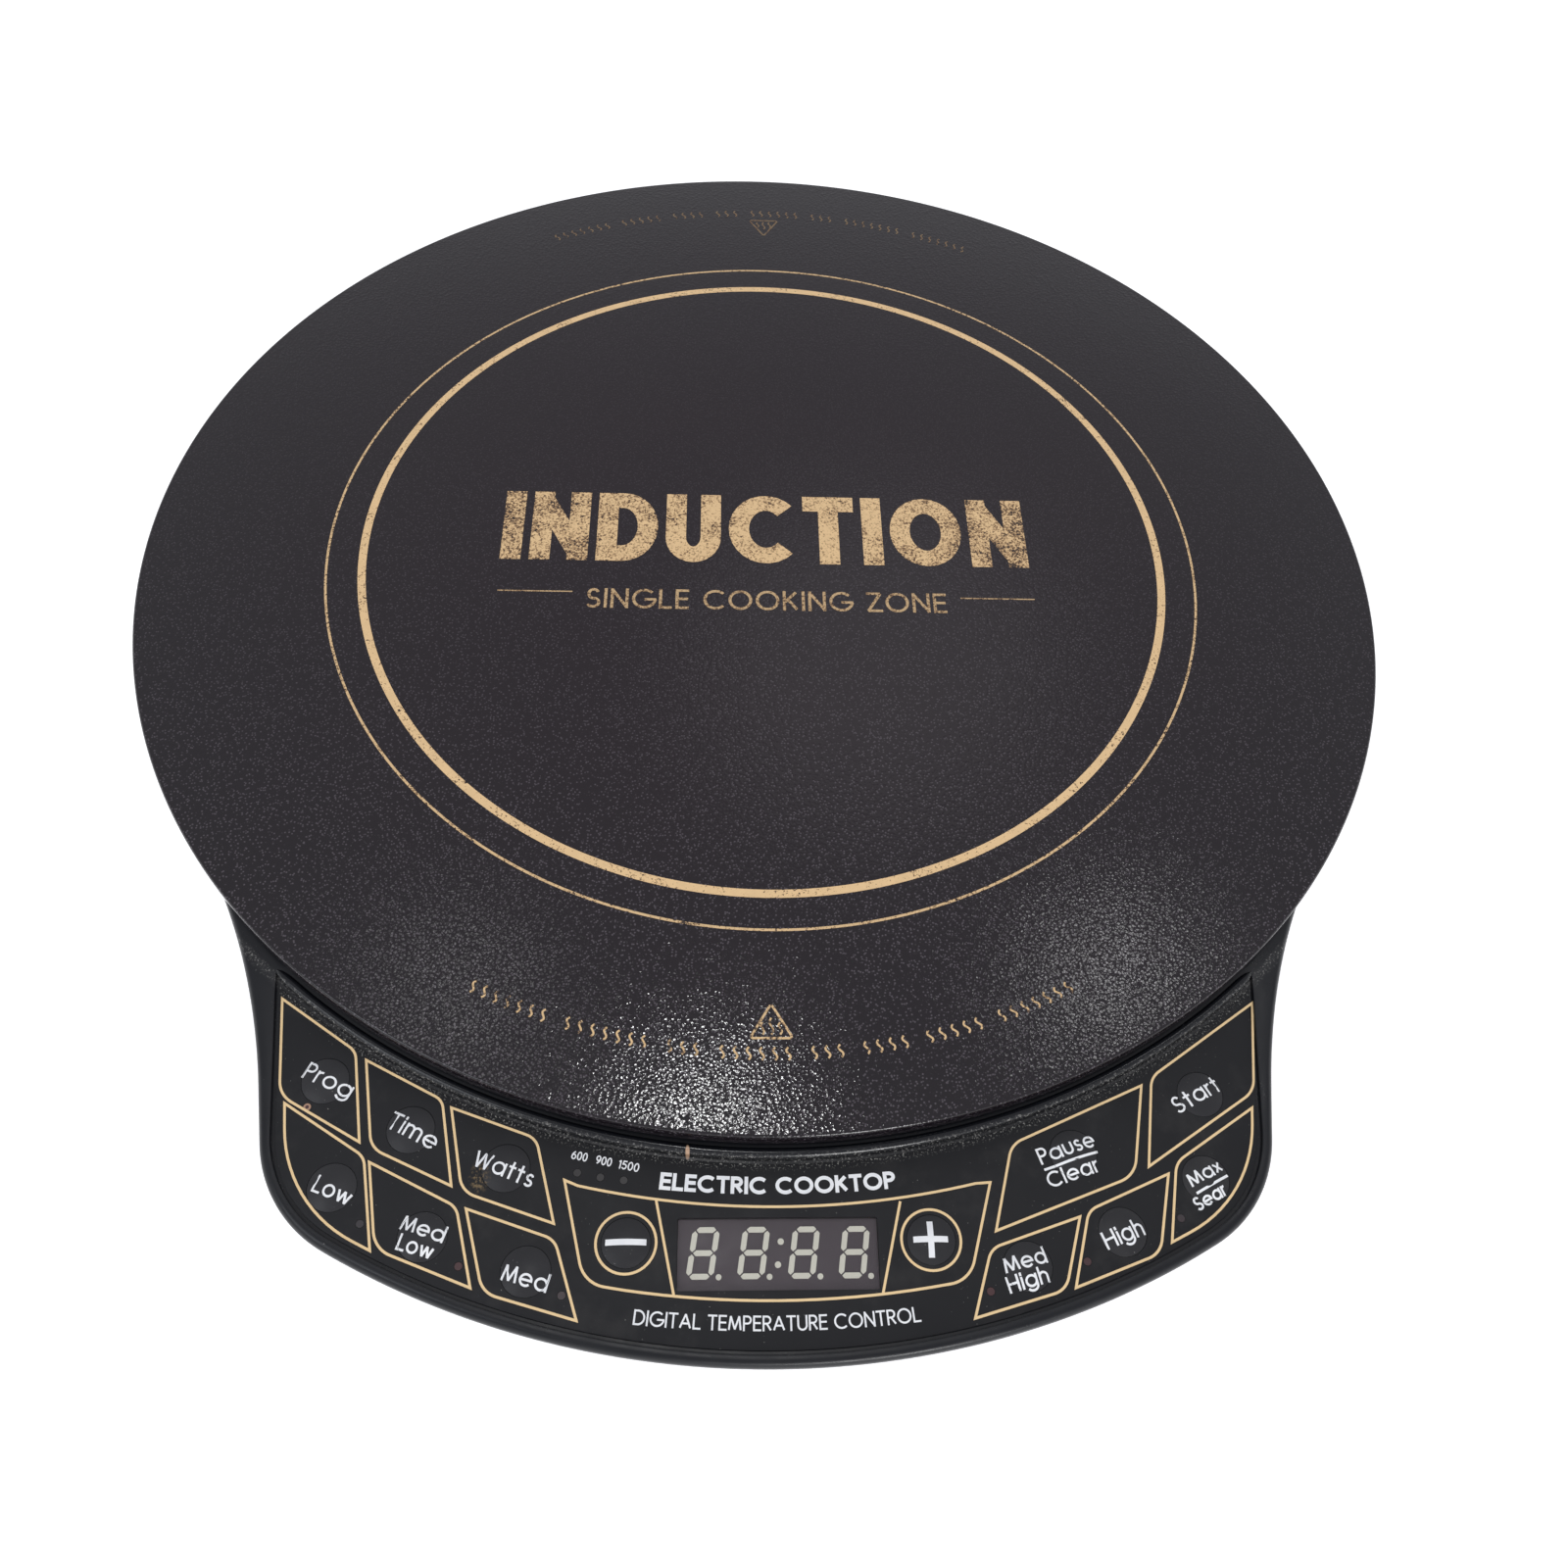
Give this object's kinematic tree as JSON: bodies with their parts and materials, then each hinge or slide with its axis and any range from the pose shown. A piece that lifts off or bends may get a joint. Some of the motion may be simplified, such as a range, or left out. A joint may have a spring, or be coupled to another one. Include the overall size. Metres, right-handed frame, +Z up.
{
  "type": "induction cooktop",
  "caption": "Portable round glass-top induction cooktop with a curved front key panel, digital display and cooling fan.",
  "frame": {"origin": "middle of the footprint, on the counter under the feet", "axes": "+Z up, -Y towards the user, +X to the user's right"},
  "size_m": [0.311, 0.352, 0.0635],
  "materials": {
    "base_plastic": "fine texture",
    "housing_plastic": "satin gloss",
    "black_glass": "pebbled gloss",
    "seal_rubber": "matte",
    "panel_film": "satin",
    "key_film": "gloss",
    "tinted_lens": "gloss",
    "display_body": "matte",
    "segment_fill": "matte",
    "lamp_red": "gloss",
    "gold_print": "printed ink",
    "white_print": "printed ink",
    "circuit_board": "satin",
    "dark_plastic": "matte",
    "bare_aluminium": "extruded",
    "yellow_plastic": "matte",
    "can_sleeve": "gloss",
    "copper_wire": "enamelled copper",
    "ferrite": "sintered",
    "clear_tube": "clear",
    "blue_coat": "dipped",
    "mica": "pearly",
    "white_ceramic": "matte",
    "red_sleeve": "silicone",
    "light_sleeve": "satin",
    "dark_sleeve": "satin",
    "brass_metal": "bright",
    "white_plastic": "matte",
    "bright_steel": "zinc plated",
    "foot_rubber": "matte"
  },
  "bodies": {
    "housing": {"bottom_housing": "base_plastic", "top_housing": "housing_plastic", "glass_plate": "black_glass", "glass_gasket": "seal_rubber", "overlay_film": "panel_film", "display_window": "tinted_lens", "display_module": "display_body", "display_segments": "segment_fill", "light_pipes": "lamp_red", "indicator_leds": "segment_fill", "control_board": "circuit_board", "tact_switches": "dark_plastic", "buzzer": "dark_plastic", "main_board": "circuit_board", "heat_sink": "bare_aluminium", "power_transistor": "dark_plastic", "bridge_rectifier": "dark_plastic", "film_capacitors": "yellow_plastic", "electrolytic_capacitors": "can_sleeve", "filter_choke": "copper_wire", "transformer": "ferrite", "fuse": "clear_tube", "varistor": "blue_coat", "coil_carrier": "dark_plastic", "coil_winding": "copper_wire", "ferrite_bars": "ferrite", "mica_sheet": "mica", "temperature_sensor": "white_ceramic", "coil_leads": "red_sleeve", "sensor_lead": "light_sleeve", "fan_lead": "dark_sleeve", "ribbon_cable": "light_sleeve", "terminals": "brass_metal", "connectors": "white_plastic", "fan_frame": "dark_plastic", "fan_stator": "copper_wire", "fan_bearing": "brass_metal", "feet": "foot_rubber", "housing_screws": "bright_steel", "board_screws": "bright_steel", "panel_screws": "bright_steel", "coil_screws": "bright_steel", "fan_screws": "bright_steel", "cord_gland": "seal_rubber"},
    "prog_key": {"key_prog": "key_film"},
    "time_key": {"key_time": "key_film"},
    "watts_key": {"key_watts": "key_film"},
    "pause_clear_key": {"key_pause_clear": "key_film"},
    "start_key": {"key_start": "key_film"},
    "low_key": {"key_low": "key_film"},
    "med_low_key": {"key_med_low": "key_film"},
    "med_key": {"key_med": "key_film"},
    "med_high_key": {"key_med_high": "key_film"},
    "high_key": {"key_high": "key_film"},
    "max_sear_key": {"key_max_sear": "key_film"},
    "minus_key": {"key_minus": "key_film"},
    "plus_key": {"key_plus": "key_film"},
    "fan_wheel": {"fan_rotor": "dark_plastic", "fan_shaft": "bright_steel", "fan_magnet": "ferrite"}
  },
  "joints": [
    {"name": "prog_press", "type": "slide", "parent": "housing", "child": "prog_key", "axis": [0, 0, -1], "range_m": [0, 0.0004], "stiffness_N_per_m": 800},
    {"name": "time_press", "type": "slide", "parent": "housing", "child": "time_key", "axis": [0, 0, -1], "range_m": [0, 0.0004], "stiffness_N_per_m": 800},
    {"name": "watts_press", "type": "slide", "parent": "housing", "child": "watts_key", "axis": [0, 0, -1], "range_m": [0, 0.0004], "stiffness_N_per_m": 800},
    {"name": "pause_clear_press", "type": "slide", "parent": "housing", "child": "pause_clear_key", "axis": [0, 0, -1], "range_m": [0, 0.0004], "stiffness_N_per_m": 800},
    {"name": "start_press", "type": "slide", "parent": "housing", "child": "start_key", "axis": [0, 0, -1], "range_m": [0, 0.0004], "stiffness_N_per_m": 800},
    {"name": "low_press", "type": "slide", "parent": "housing", "child": "low_key", "axis": [0, 0, -1], "range_m": [0, 0.0004], "stiffness_N_per_m": 800},
    {"name": "med_low_press", "type": "slide", "parent": "housing", "child": "med_low_key", "axis": [0, 0, -1], "range_m": [0, 0.0004], "stiffness_N_per_m": 800},
    {"name": "med_press", "type": "slide", "parent": "housing", "child": "med_key", "axis": [0, 0, -1], "range_m": [0, 0.0004], "stiffness_N_per_m": 800},
    {"name": "med_high_press", "type": "slide", "parent": "housing", "child": "med_high_key", "axis": [0, 0, -1], "range_m": [0, 0.0004], "stiffness_N_per_m": 800},
    {"name": "high_press", "type": "slide", "parent": "housing", "child": "high_key", "axis": [0, 0, -1], "range_m": [0, 0.0004], "stiffness_N_per_m": 800},
    {"name": "max_sear_press", "type": "slide", "parent": "housing", "child": "max_sear_key", "axis": [0, 0, -1], "range_m": [0, 0.0004], "stiffness_N_per_m": 800},
    {"name": "minus_press", "type": "slide", "parent": "housing", "child": "minus_key", "axis": [0, 0, -1], "range_m": [0, 0.0004], "stiffness_N_per_m": 800},
    {"name": "plus_press", "type": "slide", "parent": "housing", "child": "plus_key", "axis": [0, 0, -1], "range_m": [0, 0.0004], "stiffness_N_per_m": 800},
    {"name": "fan_spin", "type": "hinge", "parent": "housing", "child": "fan_wheel", "pos_m": [-0.045, 0.0655, 0.02], "axis": [0, 0, 1], "continuous": true}
  ]
}
